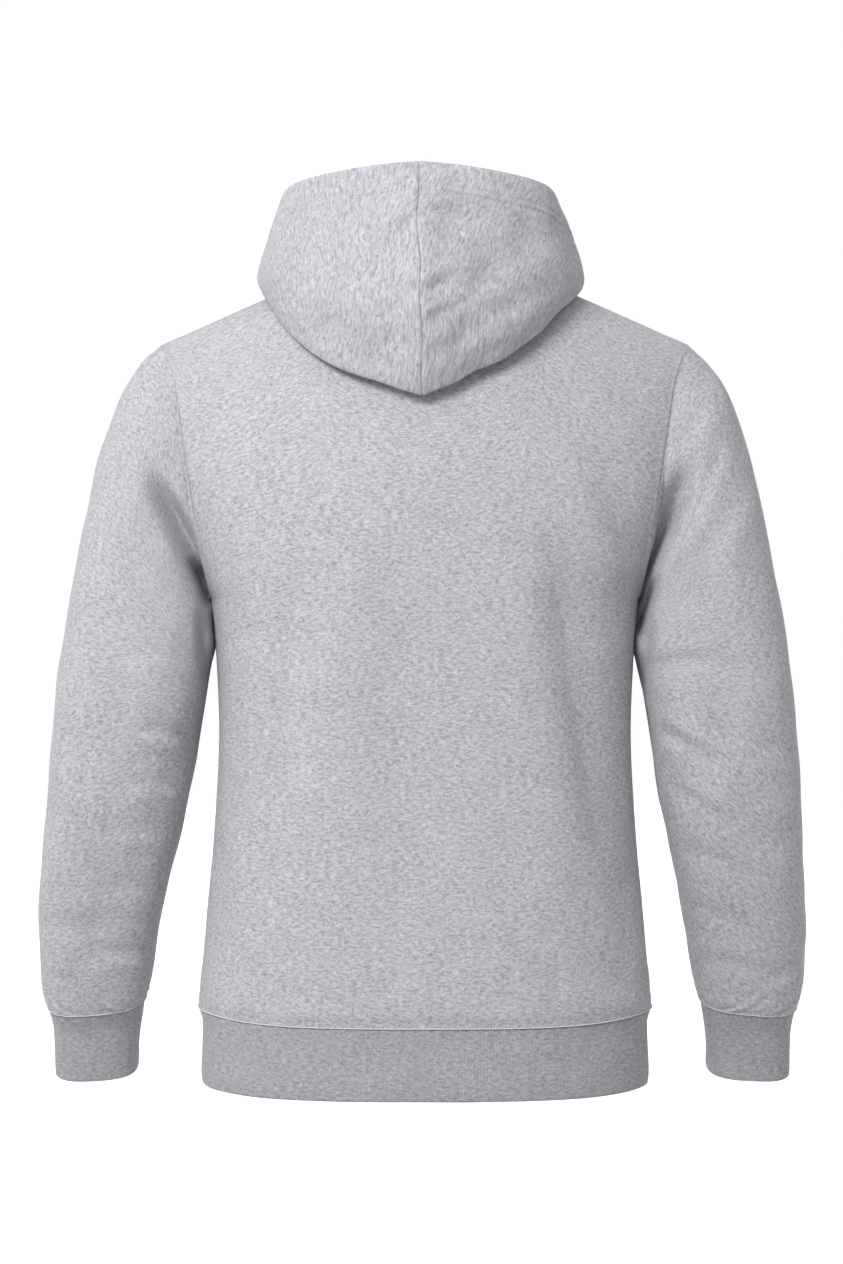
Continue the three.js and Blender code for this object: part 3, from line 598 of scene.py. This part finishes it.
def dress_sleeve(cloth, behind, in_front, dents, seed):
    """Folds, slack, gathers into the cuff, the armhole's seam and the seam under the arm."""
    under = np.minimum(cloth.along, cloth.along[:, -1:] + (cloth.along[:, 1:2]) - cloth.along)
    relief = cloth.fold(behind, in_front) + ripple(cloth.grid, 0.8, seed, 34, 110) * quiet(cloth, 24)
    relief += puckers(cloth.along, cloth.fall, 17, 1.9, 20, seed) * smooth(cloth.fall, 0, 5)
    relief += 0.5 * np.exp(-(((cloth.fall - 8) / 6) ** 2))
    relief += seam_relief(cloth.rise, 0.3, -0.45, 2.8, 2.6) * off_shoulder(cloth)
    relief += seam_relief(cloth.fall, 0.1, 0.6, 1.8, 1.2)
    relief += seam_relief(under) * smooth(cloth.rise, 0, 5) * smooth(cloth.fall, 0, 5)
    low = smooth(-cloth.grid[..., 2], 272, 284) * (1 - smooth(-cloth.grid[..., 2], 312, 334))
    inward = smooth(-cloth.normal[..., 0] * np.sign(cloth.grid[..., 0]), 0.5, 0.9)
    relief += ARMPIT_PRESS * low * inward
    relief += puckers(cloth.along, cloth.rise, 14, 0.5, 9, seed + 2) * smooth(cloth.rise, 0, 3)
    press(cloth, relief)
    dent(cloth, dents)


def dress_band(cloth, seed, deep):
    """The rib's seam, the swell of its doubled cloth, and a slight waver from the gathers."""
    relief = seam_relief(cloth.rise, 0.1, -0.1, 2.4, 1.6) + 0.3 * smooth(cloth.rise, 4, 18)
    relief += puckers(cloth.along, cloth.rise, 11, deep, 14, seed) * smooth(cloth.rise, 0, 3)
    relief += ripple(cloth.grid, 0.35, seed + 3, 30, 90) * smooth(cloth.rise, 0, 20)
    if cloth is waistband:
        relief += waist_corner(cloth)
    press(cloth, relief)


HEM_ROWS = (21.5, 27.5)


def dress_hood(cloth, folds, seed, groove, pad):
    """Folds, slack, the centre and neck seams, and the hem's two needle rows as grooves."""
    relief = cloth.fold(folds) + ripple(cloth.grid, 0.9, seed, 30, 100) * quiet(cloth, 22)
    low, high = HEM_ROWS
    for row in HEM_ROWS:
        relief -= groove * np.exp(-(((cloth.fall - row) / 1.1) ** 2))
    middle = (low + high) / 2
    relief += pad * np.exp(-(((cloth.fall - middle) / 1.6) ** 2))
    relief += puckers(cloth.along, np.abs(cloth.fall - middle), 8, 0.5, 9, seed)
    relief += seam_relief(cloth.rise) + seam_relief(cloth.along, 0.9, 0.3, 3.4, 2.0)
    relief += puckers(cloth.rise, cloth.along, 15, 0.7, 8, seed + 4) * smooth(cloth.along, 0, 3)
    press(cloth, relief)


dress_panel(back, BACK_FOLDS, (), 3)
dress_panel(front, (), FRONT_FOLDS, 5)
dress_sleeve(sleeve_left, LEFT_BACK_FOLDS, LEFT_FRONT_FOLDS, LEFT_DENTS, 7)
dress_sleeve(sleeve_right, RIGHT_BACK_FOLDS, RIGHT_FRONT_FOLDS, RIGHT_DENTS, 11)
dress_band(waistband, 13, 0.5)
dress_band(cuff_left, 17, 0.9)
dress_band(cuff_right, 19, 0.9)
dress_hood(hood_left, HOOD_LEFT_FOLDS, 23, 0.4, 0.2)
dress_hood(hood_right, HOOD_RIGHT_FOLDS, 29, 0.95, 0.6)
shared_normals(cloths)


def steadied(normal):
    """The outward directions averaged over seven rows, so that the inner side doesn't cross itself."""
    rows = np.clip(np.arange(len(normal))[:, None] + np.arange(-3, 4), 0, len(normal) - 1)
    mean = normal[rows].mean(1)
    return mean / np.linalg.norm(mean, axis=-1, keepdims=True)


def rounded(cloth, finished):
    """Outer and inner side of the wall. A finished edge turns over as a half circle: within half a
    thickness h of it both sides close in by h - sqrt(h^2 - (h - d)^2)."""
    thick = np.full(cloth.grid.shape[:2], float(cloth.thick))
    if cloth.name.startswith("hood"):
        thick = mix(HEM_THICK, cloth.thick, smooth(cloth.fall, HEM_ROWS[1] - 1, HEM_ROWS[1] + 2))
    h = thick / 2
    d = np.minimum(cloth.fall if finished else h, h)
    close = (h - np.sqrt(np.maximum(h * h - (h - d) ** 2, 0))) * 0.96
    outer = cloth.grid - cloth.normal * close[..., None]
    inner = cloth.grid - steadied(cloth.normal) * (thick - close)[..., None]
    return outer, inner


def trimmed(grid, closed, free_end):
    """Draws the sewn edges back from the seam by half the gap between two pieces."""
    def drawn(p, q):
        way = q - p
        length = np.maximum(np.linalg.norm(way, axis=-1, keepdims=True), 1e-9)
        return p + way / length * np.minimum(SEAM_GAP / 2, length * 0.4)
    grid = grid.copy()
    grid[0] = drawn(grid[0], grid[1])
    if not free_end:
        grid[-1] = drawn(grid[-1], grid[-2])
    if not closed:
        grid[:, 0] = drawn(grid[:, 0], grid[:, 1])
        grid[:, -1] = drawn(grid[:, -1], grid[:, -2])
    return grid


def cloth_map(cloth, order):
    """The piece laid flat, in metres: distance across from its middle and along from its first row,
    turned by the grain's angle. A rib's distance across is the same in every row."""
    grid = np.concatenate([cloth.grid, cloth.grid[:, :1]], axis=1) if cloth.closed else cloth.grid
    u = run_lengths(grid, 1)
    middle = u.shape[1] // 2
    v = np.broadcast_to(run_lengths(grid, 0)[:, grid.shape[1] // 3][:, None], u.shape)
    if cloth.slot == "rib":
        u = np.broadcast_to(u.mean(0), u.shape)
    elif not cloth.name.startswith("hood"):
        u = u - u[:, middle:middle + 1]
    turn = cloth.grain
    across = u * math.cos(turn) - v * math.sin(turn)
    along = u * math.sin(turn) + v * math.cos(turn)
    return np.stack([across * MM + 1.3 * order, along * MM + 0.7 * order], -1)


def build_mesh(name, verts, faces, uv=None):
    """A mesh from arrays of points in metres, faces and each face corner's place on the flat cloth."""
    mesh = bpy.data.meshes.new(name)
    mesh.vertices.add(len(verts))
    mesh.vertices.foreach_set("co", np.ascontiguousarray(verts, np.float32).ravel())
    corners = np.concatenate([f.ravel() for f in faces])
    sizes = np.concatenate([np.full(len(f), f.shape[1]) for f in faces])
    mesh.loops.add(len(corners))
    mesh.loops.foreach_set("vertex_index", corners.astype(np.int32))
    mesh.polygons.add(len(sizes))
    starts = np.concatenate([[0], np.cumsum(sizes)[:-1]])
    mesh.polygons.foreach_set("loop_start", starts.astype(np.int32))
    mesh.polygons.foreach_set("use_smooth", np.ones(len(sizes), bool))
    if uv is not None:
        layer = mesh.uv_layers.new(name="cloth")
        layer.data.foreach_set("uv", np.ascontiguousarray(uv, np.float32).ravel())
    mesh.update(calc_edges=True)
    mesh.validate()
    piece = bpy.data.objects.new(name, mesh)
    bpy.context.scene.collection.objects.link(piece)
    return piece


def wall(cloth, order, free_end):
    """The closed wall of a piece: outer side, inner side, and strips along the edges between them."""
    outer, inner = (trimmed(side, cloth.closed, free_end) for side in rounded(cloth, free_end))
    rows, across = outer.shape[:2]
    last = across if cloth.closed else across - 1
    uv = cloth_map(cloth, order).reshape(-1, 2)
    wide = across + 1 if cloth.closed else across
    i, j = np.meshgrid(np.arange(rows - 1), np.arange(last), indexing="ij")
    i, j = i.ravel(), j.ravel()
    def corner(side, row, column):
        return (side * rows + row) * across + column % across, row * wide + column
    def quads(*places):
        vertex, flat = zip(*(corner(*p) for p in places))
        turn = slice(None) if cloth.out > 0 else slice(None, None, -1)
        return np.stack(vertex, -1)[:, turn], np.stack(flat, -1)[:, turn]
    sides = [
        quads((0, i, j), (0, i, j + 1), (0, i + 1, j + 1), (0, i + 1, j)),
        quads((1, i, j), (1, i + 1, j), (1, i + 1, j + 1), (1, i, j + 1)),
    ]
    k = np.arange(last)
    low, high = np.zeros_like(k), np.full_like(k, rows - 1)
    sides.append(quads((0, low, k + 1), (0, low, k), (1, low, k), (1, low, k + 1)))
    sides.append(quads((0, high, k), (0, high, k + 1), (1, high, k + 1), (1, high, k)))
    if not cloth.closed:
        k = np.arange(rows - 1)
        low, high = np.zeros_like(k), np.full_like(k, across - 1)
        sides.append(quads((0, k, low), (0, k + 1, low), (1, k + 1, low), (1, k, low)))
        sides.append(quads((0, k + 1, high), (0, k, high), (1, k, high), (1, k + 1, high)))
    faces = np.concatenate([s[0] for s in sides])
    flat = np.concatenate([s[1] for s in sides])
    verts = np.concatenate([outer.reshape(-1, 3), inner.reshape(-1, 3)]) * MM
    return build_mesh(cloth.name + "_cloth", verts, [faces], uv[flat.ravel()])


def line_at(cloth, distance, from_end=False):
    """The line on the cloth at a distance from its first (or last) row, with its outward directions."""
    along = cloth.fall if from_end else cloth.rise
    inside = along < distance
    row = np.clip(inside.sum(0) if not from_end else (~inside).sum(0), 1, len(along) - 1)
    col = np.arange(along.shape[1])
    a, b = along[row - 1, col], along[row, col]
    t = np.clip((distance - a) / np.where(b == a, 1, b - a), 0, 1)[:, None]
    place = mix(cloth.grid[row - 1, col], cloth.grid[row, col], t)
    return place, mix(cloth.normal[row - 1, col], cloth.normal[row, col], t)


def stitch_row(line, pitch, length, thick, lift=0.12, closed=False):
    """Stitches along a line: lemon-shaped beads of half length a and half thickness b, with
    points a cos(p), b sin(p) cos(q), b sin(p) sin(q) along the seam, outwards and across."""
    place, normal = line
    if closed:
        place, normal = (np.concatenate([v, v[:1]]) for v in (place, normal))
    run = np.concatenate([[0], np.cumsum(np.linalg.norm(np.diff(place, axis=0), axis=1))])
    centre = np.arange(pitch / 2, run[-1] - pitch / 2, pitch)
    def at(values, where):
        return np.stack([np.interp(where, run, values[:, k]) for k in range(3)], -1)
    ahead = at(place, centre + length / 2) - at(place, centre - length / 2)
    ahead /= np.linalg.norm(ahead, axis=1)[:, None]
    up = at(normal, centre)
    side = np.cross(ahead, up)
    side /= np.linalg.norm(side, axis=1)[:, None]
    up = np.cross(side, ahead)
    p = np.radians([40, 90, 140])
    q = np.linspace(0, 2 * np.pi, 6, endpoint=False)
    ring = np.stack(np.broadcast_arrays(
        length / 2 * np.cos(p)[:, None], thick / 2 * np.sin(p)[:, None] * np.cos(q),
        thick / 2 * np.sin(p)[:, None] * np.sin(q),
    ), -1).reshape(-1, 3)
    bead = np.concatenate([[[length / 2, 0, 0]], ring, [[-length / 2, 0, 0]]])
    middle = at(place, centre) + lift * up
    spread = bead[None, :, :1] * ahead[:, None] + bead[None, :, 1:2] * up[:, None]
    return (middle[:, None] + spread + bead[None, :, 2:] * side[:, None]) * MM


def stitches(name, rows):
    """All the stitches of one seam as a single mesh of closed beads."""
    beads = np.concatenate(rows)
    first = np.arange(len(beads))[:, None] * 20
    q = np.arange(6)
    ring = lambda k: 1 + 6 * k + q
    turn = np.roll(q, -1)
    after = lambda k: 1 + 6 * k + turn
    caps = np.concatenate([
        np.stack([np.zeros(6, int), ring(0), after(0)], -1), np.stack([np.full(6, 19), after(2), ring(2)], -1),
    ])
    bands = np.concatenate([np.stack([ring(k), ring(k + 1), after(k + 1), after(k)], -1) for k in (0, 1)])
    faces = [(first[:, :, None] + shape[None]).reshape(-1, shape.shape[1]) for shape in (caps, bands)]
    return build_mesh(name, beads.reshape(-1, 3), faces)


class Value:
    """A node's output. Arithmetic on it adds Math nodes to its material."""

    def __init__(self, maker, socket):
        self.maker, self.socket = maker, socket

    def _math(self, kind, a, b=0.0, c=0.0):
        return self.maker.node("ShaderNodeMath", {"operation": kind}, {0: a, 1: b, 2: c})

    def __add__(self, other): return self._math("ADD", self, other)
    def __radd__(self, other): return self._math("ADD", other, self)
    def __sub__(self, other): return self._math("SUBTRACT", self, other)
    def __rsub__(self, other): return self._math("SUBTRACT", other, self)
    def __mul__(self, other): return self._math("MULTIPLY", self, other)
    def __rmul__(self, other): return self._math("MULTIPLY", other, self)
    def __pow__(self, other): return self._math("POWER", self, other)
    def clamp(self, low, high): return self._math("MINIMUM", self._math("MAXIMUM", self, low), high)
    def wave(self): return self._math("SINE", self)
    def size(self): return self._math("ABSOLUTE", self)

    def between(self, low, high):
        """0 at low, 1 at high, with a soft turn at both."""
        return self.maker.node("ShaderNodeMapRange", {"interpolation_type": "SMOOTHSTEP"},
                               {"Value": self, "From Min": low, "From Max": high})


class Finish:
    """The nodes that make one material, or the world."""

    def __init__(self, owner):
        owner.use_nodes = True
        self.owner, self.tree = owner, owner.node_tree
        self.tree.nodes.clear()

    def node(self, kind, settings=None, sockets=None, out=0):
        """Adds a node: its settings first, then the values or links of its sockets."""
        made = self.tree.nodes.new(kind)
        for key, value in (settings or {}).items():
            setattr(made, key, value)
        for key, value in (sockets or {}).items():
            if isinstance(value, Value):
                self.tree.links.new(value.socket, made.inputs[key])
            else:
                made.inputs[key].default_value = value
        self.last = made
        return Value(self, made.outputs[out]) if len(made.outputs) else None

    def noise(self, where, scale, detail=2.0, rough=0.5, twist=0.0):
        """Smooth noise of about 0 to 1."""
        return self.node("ShaderNodeTexNoise", {"noise_dimensions": "2D"},
                         {"Vector": where, "Scale": scale, "Detail": detail, "Roughness": rough,
                          "Distortion": twist})

    def tint(self, share, a, b):
        """The colour a share of the way from a to b."""
        made = self.node("ShaderNodeMix", {"data_type": "RGBA"}, {"Factor": share}, out=2)
        for key, value in ((6, a), (7, b)):
            if isinstance(value, Value):
                self.tree.links.new(value.socket, self.last.inputs[key])
            else:
                self.last.inputs[key].default_value = (*value, 1)
        return made

    def stretch(self, where, across, along, turn=0.0):
        """The flat cloth's place, counted in lengths of across and along metres."""
        return self.node("ShaderNodeMapping", {}, {
            "Vector": where, "Scale": (1 / across, 1 / along, 1), "Rotation": (0, 0, turn)})

    def surface(self, colour, roughness, normal, sheen=0.0):
        """The shader itself, with the values that don't change set on its own sockets."""
        shader = self.node("ShaderNodeBsdfPrincipled", {}, {
            "Base Color": colour, "Roughness": roughness, "Normal": normal, "Sheen Weight": sheen,
            "Sheen Roughness": 0.6, "Specular IOR Level": 0.22})
        self.node("ShaderNodeOutputMaterial", {}, {"Surface": shader})
        return self.owner


def marl(finish, place, light, dark, strength):
    """Marl yarn: short, wavy, darker and paler fibres along the courses, thin squiggles where a noise
    crosses its middle, soft blotches and a few dark specks."""
    sway = finish.noise(finish.stretch(place, 0.0075, 0.006), 1.0, 2.0)
    swing = finish.noise(finish.stretch(place, 0.0068, 0.0082, 0.7), 1.0, 2.0)
    bent = finish.node("ShaderNodeCombineXYZ", {}, {0: (swing - 0.5) * 0.0045, 1: (sway - 0.5) * 0.005})
    bent = finish.node("ShaderNodeVectorMath", {"operation": "ADD"}, {0: place, 1: bent})
    fibres = finish.noise(finish.stretch(bent, 0.0056, 0.0020), 1.0, 3.0, 0.6)
    fine = finish.noise(finish.stretch(bent, 0.0026, 0.0011, 0.1), 1.0, 2.0, 0.6)
    blotch = finish.noise(finish.stretch(place, 0.03, 0.022), 1.0, 2.0)
    thread = finish.noise(finish.stretch(bent, 0.0074, 0.0036, -0.15), 1.0, 1.0)
    squiggle = (thread - 0.5).size().between(0.035, 0.0)
    spot = finish.noise(finish.stretch(bent, 0.0036, 0.0026, 0.4), 1.0, 1.0)
    shade = (
        0.5 + (fibres - 0.5) * (1.9 * strength) + (fine - 0.5) * (1.4 * strength)
        + (blotch - 0.5) * (0.3 * strength) + squiggle * fibres.between(0.45, 0.6) * (0.3 * strength)
        + spot.between(0.66, 0.76) * (0.3 * strength) - spot.between(0.36, 0.27) * (0.2 * strength)
    )
    return finish.tint(shade.clamp(0.0, 1.0), light, dark), fibres, fine


def fleece_finish():
    """Sweatshirt fleece: marl colour, tiny knit columns and a soft felted nap."""
    finish = Finish(bpy.data.materials.new("marl_fleece"))
    place = finish.node("ShaderNodeUVMap", {"uv_map": "cloth"})
    colour, fibres, fine = marl(finish, place, (0.5, 0.492, 0.525), (0.25, 0.245, 0.268), 0.85)
    flat = finish.node("ShaderNodeSeparateXYZ", {}, {0: place})
    column = (flat * (2 * math.pi / 0.0013)).wave()
    course = Value(finish, flat.socket.node.outputs[1])
    loops = ((course * (2 * math.pi / 0.0011)) + column * 1.1).wave()
    nap = finish.noise(finish.stretch(place, 0.0016, 0.0012), 1.0, 3.0, 0.65)
    lumps = finish.noise(finish.stretch(place, 0.0065, 0.0045), 1.0, 2.0, 0.5)
    height = column * 0.16 + loops * 0.12 + nap * 0.9 + fibres * 0.35 + lumps * 0.9
    bump = finish.node("ShaderNodeBump", {}, {"Strength": 0.55, "Distance": 0.0005, "Height": height})
    roughness = (0.84 + fine * 0.16).clamp(0.0, 1.0)
    return finish.surface(colour, roughness, bump, 0.12)


def rib_finish():
    """Fine rib: narrow upright wales with painted shade between them, in the same marl yarn."""
    finish = Finish(bpy.data.materials.new("marl_rib"))
    place = finish.node("ShaderNodeUVMap", {"uv_map": "cloth"})
    colour, fibres, fine = marl(finish, place, (0.4, 0.394, 0.422), (0.2, 0.196, 0.215), 0.75)
    flat = finish.node("ShaderNodeSeparateXYZ", {}, {0: place})
    waver = finish.noise(finish.stretch(place, 0.02, 0.03), 1.0, 1.0)
    wale = ((flat + (waver - 0.5) * 0.0006) * (2 * math.pi / 0.0027)).wave()
    course = Value(finish, flat.socket.node.outputs[1])
    rows = (course * (2 * math.pi / 0.0013)).wave()
    # painted shade: the colour darkens slightly towards (0.16, 0.157, 0.172) in the gaps between the wales
    dip = wale.between(-0.3, -1.0)
    colour = finish.tint(dip * 0.05, colour, (0.16, 0.157, 0.172))
    nap = finish.noise(finish.stretch(place, 0.0014, 0.0016), 1.0, 2.0, 0.6)
    height = wale * 0.17 + rows * 0.1 + nap * 0.7 + fibres * 0.4
    bump = finish.node("ShaderNodeBump", {}, {"Strength": 0.6, "Distance": 0.0006, "Height": height})
    return finish.surface(colour, (0.84 + fine * 0.14).clamp(0.0, 1.0), bump, 0.1)


def thread_finish():
    """Sewing thread: grey, with a faint twist along its length."""
    finish = Finish(bpy.data.materials.new("thread"))
    place = finish.node("ShaderNodeTexCoord", {}, {}, out=3)
    twist = finish.node("ShaderNodeTexNoise", {}, {"Vector": place, "Scale": 1400.0, "Detail": 1.0})
    colour = finish.tint(twist, (0.66, 0.654, 0.68), (0.48, 0.475, 0.5))
    bump = finish.node("ShaderNodeBump", {}, {"Strength": 0.3, "Distance": 0.0002, "Height": twist})
    return finish.surface(colour, (0.55 + twist * 0.2).clamp(0.0, 1.0), bump)


fleece, rib, thread = fleece_finish(), rib_finish(), thread_finish()
finishes = {"fleece": fleece, "rib": rib}

# Each piece's wall with its finish, hung on the frame's root in place of the frame's own piece
for order, cloth in enumerate(cloths):
    free_end = cloth.slot == "rib" or cloth.name.startswith("hood")
    piece = wall(cloth, order, free_end)
    piece.data.materials.append(finishes[cloth.slot])
    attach(piece, "root")
    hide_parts(cloth.name)
    cloth.piece = piece

hem = [stitch_row(line_at(h, row, True), 3.0, 2.3, 0.62) for h in (hood_left, hood_right) for row in HEM_ROWS]
waist = [stitch_row(line_at(c, 1.1), 2.5, 2.8, 1.4) for c in (back, front)]
cuffs = [
    stitch_row(line_at(c, 1.1, True), 2.5, 2.8, 1.4, closed=True) for c in (sleeve_left, sleeve_right)
]
sewn = [
    stitches("hood_hem_stitches", hem), stitches("waist_stitches", waist), stitches("cuff_stitches", cuffs),
]
for piece in sewn:
    piece.data.materials.append(thread)
    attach(piece, "root")

# Floor, light and camera
def floor_finish():
    """A pale floor that glows softly behind the garment, so that it ends in the same white as the sky."""
    finish = Finish(bpy.data.materials.new("floor"))
    place = finish.node("ShaderNodeTexCoord", {}, {}, out=3)
    behind = finish.node("ShaderNodeSeparateXYZ", {}, {0: place}, out=1).between(0.02, -0.28)
    glow = finish.tint(behind, (0.0, 0.0, 0.0), (0.72, 0.72, 0.72))
    shader = finish.node("ShaderNodeBsdfPrincipled", {}, {
        "Base Color": (0.62, 0.62, 0.62, 1), "Roughness": 0.9, "Emission Color": glow, "Emission Strength": 1.0,
    })
    finish.node("ShaderNodeOutputMaterial", {}, {"Surface": shader})
    return finish.owner


def studio_sky(world):
    """White behind the garment, and greyer towards the camera's side and the wearer's right."""
    finish = Finish(world)
    place = finish.node("ShaderNodeTexCoord")
    ahead = finish.node("ShaderNodeSeparateXYZ", {}, {0: place}, out=1).between(-0.1, 0.8)
    right = finish.node("ShaderNodeSeparateXYZ", {}, {0: place}).between(-0.25, -0.95)
    sky = finish.node("ShaderNodeBackground", {}, {
        "Color": (1, 1, 1, 1), "Strength": 1.0 - ahead * 0.34 - right * 0.4,
    })
    finish.node("ShaderNodeOutputWorld", {}, {"Surface": sky})


edge = 9.0
corners = np.array([(-edge, -edge, -0.9), (edge, -edge, -0.9), (edge, edge, -0.9), (-edge, edge, -0.9)])
floor = build_mesh("floor", corners, [np.array([[0, 1, 2, 3]])])
floor.data.materials.append(floor_finish())

bpy.context.scene.world = bpy.data.worlds.new("studio")
studio_sky(bpy.context.scene.world)
bpy.context.scene.view_settings.view_transform = "Standard"


def soft_light(name, place, aim, size, power):
    """A square area light at a place, turned to face its aim."""
    lamp = bpy.data.lights.new(name, "AREA")
    lamp.shape, lamp.size, lamp.energy = "SQUARE", size, power
    holder = bpy.data.objects.new(name, lamp)
    bpy.context.scene.collection.objects.link(holder)
    holder.location = place
    way = np.array(aim, float) - np.array(place, float)
    flat = math.hypot(way[0], way[1])
    holder.rotation_euler = (math.atan2(flat, -way[2]), 0, math.atan2(way[1], way[0]) - math.pi / 2)
    return holder


soft_light("key", (0.92, 1.92, 1.0), (0.0, 0.0, -0.2), 0.9, 55)

camera = bpy.data.objects.new("camera", bpy.data.cameras.new("camera"))
bpy.context.scene.collection.objects.link(camera)
camera.location = (0.003, 3.0, -0.304)
camera.rotation_euler = (math.pi / 2, 0, math.pi)
camera.data.sensor_width = 36
camera.data.lens = 99.34
bpy.context.scene.camera = camera
